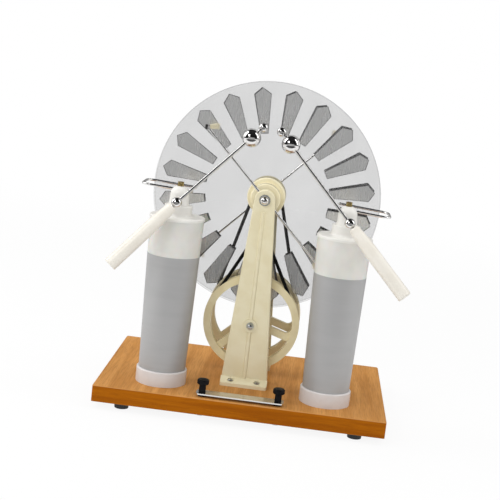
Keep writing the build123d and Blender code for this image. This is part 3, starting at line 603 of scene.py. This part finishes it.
def crossed_screw():
    """A pan-head screw with a cross recess, its seat at z 0."""
    shank = [(0, -0.0137), (0.0012, -0.0137), (0.0017, -0.0122), (0.0017, 0.0)]
    head = [
        (0.0032, 0.0), (0.0033, 0.0004), (0.0031, 0.0011), (0.0026, 0.0016), (0.0019, 0.0019),
        (0.0010, 0.0020), (0, 0.0020),
    ]
    blank = lathe(shank + head, 40)
    cutter = bmesh.new()
    for x_side, y_side in ((RECESS_SPAN, RECESS_SLOT), (RECESS_SLOT, RECESS_SPAN)):
        made = bmesh.ops.create_cube(cutter, size=1.0)
        bmesh.ops.scale(cutter, vec=(x_side, y_side, RECESS_HEIGHT), verts=made["verts"])
        bmesh.ops.translate(cutter, vec=(0, 0, RECESS_MIDDLE), verts=made["verts"])
    recess = bpy.data.meshes.new("recess")
    cutter.to_mesh(recess)
    cutter.free()
    holder = bpy.data.objects.new("screw_blank", blank)
    tool = bpy.data.objects.new("recess", recess)
    for thing in (holder, tool):
        bpy.context.collection.objects.link(thing)
    cut = holder.modifiers.new("recess", "BOOLEAN")
    cut.operation = "DIFFERENCE"
    cut.solver = "EXACT"
    cut.use_self = True
    cut.object = tool
    bpy.context.view_layer.update()
    screw = bpy.data.meshes.new_from_object(
        holder.evaluated_get(bpy.context.evaluated_depsgraph_get())
    )
    bpy.data.objects.remove(holder)
    bpy.data.objects.remove(tool)
    return screw


screw_places = [
    Matrix.Translation((across * SCREW_X, along * SCREW_Y, SCREW_SEAT))
    @ Matrix.Rotation(math.radians(turn), 4, "Z")
    for across, along, turn in SCREW_TURNS
]
placed("column_screw_set", crossed_screw(), screw_places, zinc, "frame", "column_screws")


# Floor, light and camera

def stage_plane(name, corners, material):
    mesh = bpy.data.meshes.new(name)
    mesh.from_pydata(corners, [], [(0, 1, 2, 3)])
    mesh.materials.append(material)
    plane = bpy.data.objects.new(name, mesh)
    bpy.context.collection.objects.link(plane)
    return plane


def floor_material():
    floor = Finish("pale_floor", Roughness=0.9, Base_Color=(0.80, 0.80, 0.80, 1.0))
    rays = floor.nodes.new("ShaderNodeLightPath")
    seen = Value(floor, rays.outputs["Is Camera Ray"])
    seen = seen.at_least(Value(floor, rays.outputs["Is Glossy Ray"]))
    glow = floor.nodes.new("ShaderNodeEmission")
    glow.inputs["Strength"].default_value = 1.0
    mix = floor.nodes.new("ShaderNodeMixShader")
    away = (floor.x * floor.x + floor.y * floor.y) ** 0.5
    floor.links.new((seen * away.ramp(0.5, 1.8, 0.9, 1.0)).socket, mix.inputs[0])
    floor.links.new(floor.surface.outputs[0], mix.inputs[1])
    floor.links.new(glow.outputs[0], mix.inputs[2])
    floor.links.new(mix.outputs[0], floor.nodes["Material Output"].inputs["Surface"])
    return floor.material


def flat_card(left, right, front, back, height=TABLE_Z):
    """The corners of a level sheet."""
    return [(x, y, height) for x, y in ((left, front), (right, front), (right, back), (left, back))]


def wall_card(y, low, high):
    """The corners of a wall across the whole room."""
    side = ROOM_SIDE
    return [(x, y, z) for x, z in ((-side, low), (side, low), (side, high), (-side, high))]


def side_card(x):
    """A side wall whose far edge leans back, so that it ends behind the machine."""
    return [(x, ROOM_FRONT, 0), (x, 0.5, 0), (x, 1.2, ROOM_HEIGHT), (x, ROOM_FRONT, ROOM_HEIGHT)]


stage_plane("floor", flat_card(-8, 8, -8, 8, 0), floor_material())

# The room round the pale table: only polished metal shows it
dark = Finish("dark_room", Base_Color=(0.010, 0.010, 0.011, 1.0), Roughness=0.9)
dim = Finish("dim_table", Base_Color=(0.05, 0.05, 0.05, 1.0), Roughness=0.9)
pale = Finish("pale_wall", Base_Color=(0.55, 0.55, 0.55, 1.0), Roughness=0.9)
shaded = Finish("shaded_wall", Base_Color=(0.32, 0.32, 0.32, 1.0), Roughness=0.9)
for name, corners, shade in (
    ("ceiling", flat_card(-ROOM_SIDE, ROOM_SIDE, ROOM_FRONT, 1.8, ROOM_HEIGHT), dark),
    ("front_wall", wall_card(ROOM_FRONT, SKIRTING_TOP, ROOM_HEIGHT), dark),
    ("front_skirting", wall_card(ROOM_FRONT, 0, SKIRTING_TOP), pale),
    ("left_wall", side_card(-ROOM_SIDE), dark),
    ("right_wall", side_card(ROOM_SIDE), dark),
    ("back_wall", wall_card(ROOM_BACK, 0, ROOM_HEIGHT), shaded),
    ("back_table", flat_card(-ROOM_SIDE, ROOM_SIDE, 0.5, ROOM_BACK), shaded),
    ("far_table", flat_card(-ROOM_SIDE, ROOM_SIDE, ROOM_FRONT, -1.4), pale),
    ("near_table", flat_card(-0.9, 0.9, -1.4, -0.4), dim),
):
    card = stage_plane(name, corners, shade.material)
    card.visible_camera = False
    card.visible_diffuse = False
    card.visible_shadow = False
    card.visible_transmission = False

world = bpy.data.worlds.new("studio")
bpy.context.scene.world = world
world.use_nodes = True
tree = world.node_tree
tree.nodes.clear()
rays = tree.nodes.new("ShaderNodeLightPath")
shown = rays.outputs["Is Camera Ray"]
for other in ("Is Transmission Ray", "Is Glossy Ray"):
    either = tree.nodes.new("ShaderNodeMath")
    either.operation = "MAXIMUM"
    tree.links.new(shown, either.inputs[0])
    tree.links.new(rays.outputs[other], either.inputs[1])
    shown = either.outputs[0]
sky = tree.nodes.new("ShaderNodeMixShader")
tree.links.new(shown, sky.inputs[0])
# the light that falls on the object, then the white that is seen
for slot, strength in ((1, 0.62), (2, 1.0)):
    white_sky = tree.nodes.new("ShaderNodeBackground")
    white_sky.inputs["Color"].default_value = (1.0, 1.0, 1.0, 1.0)
    white_sky.inputs["Strength"].default_value = strength
    tree.links.new(white_sky.outputs[0], sky.inputs[slot])
out = tree.nodes.new("ShaderNodeOutputWorld")
tree.links.new(sky.outputs[0], out.inputs["Surface"])


def softbox(name, place, aim, width, height, power):
    """A rectangular lamp that looks at aim, with its power in watts."""
    light = bpy.data.lights.new(name, "AREA")
    light.shape = "RECTANGLE"
    light.size = width
    light.size_y = height
    light.energy = power
    lamp = bpy.data.objects.new(name, light)
    lamp.location = place
    lamp.rotation_euler = (Vector(aim) - Vector(place)).to_track_quat("-Z", "Y").to_euler()
    bpy.context.collection.objects.link(lamp)
    return lamp


softbox("key_light", (-1.0, -1.5, 1.30), (0, 0, 0.18), 0.55, 0.55, 8)
softbox("left_light", (-1.4, 0.1, 1.15), (0, 0, 0.3), 0.7, 1.5, 11.5)
softbox("right_light", (1.45, -0.1, 1.15), (0, 0, 0.3), 0.5, 1.7, 8)
# two more that leave no bright square in the metal
for name, place, power in (
    ("top_light", (0.0, 0.0, 1.9), 7), ("fill_light", (-0.3, -2.0, 1.2), 5)
):
    softbox(name, place, (0, 0, 0.2), 1.2, 1.0, power).visible_glossy = False

# The camera, fitted to the photograph
camera_data = bpy.data.cameras.new("camera")
camera_data.lens = 84.66
camera_data.sensor_width = 36
camera_data.clip_start = 0.05
camera = bpy.data.objects.new("camera", camera_data)
right = Vector((0.99152, 0.06419, 0.11308))
up = Vector((-0.12223, 0.16372, 0.97891))
forward = Vector((-0.04432, 0.98441, -0.17017))
turn = Matrix((right, up, -forward)).transposed()
camera.matrix_world = Matrix.Translation((0.05007, -1.38921, 0.42231)) @ turn.to_4x4()
bpy.context.collection.objects.link(camera)
bpy.context.scene.camera = camera
bpy.context.scene.view_settings.view_transform = "Standard"
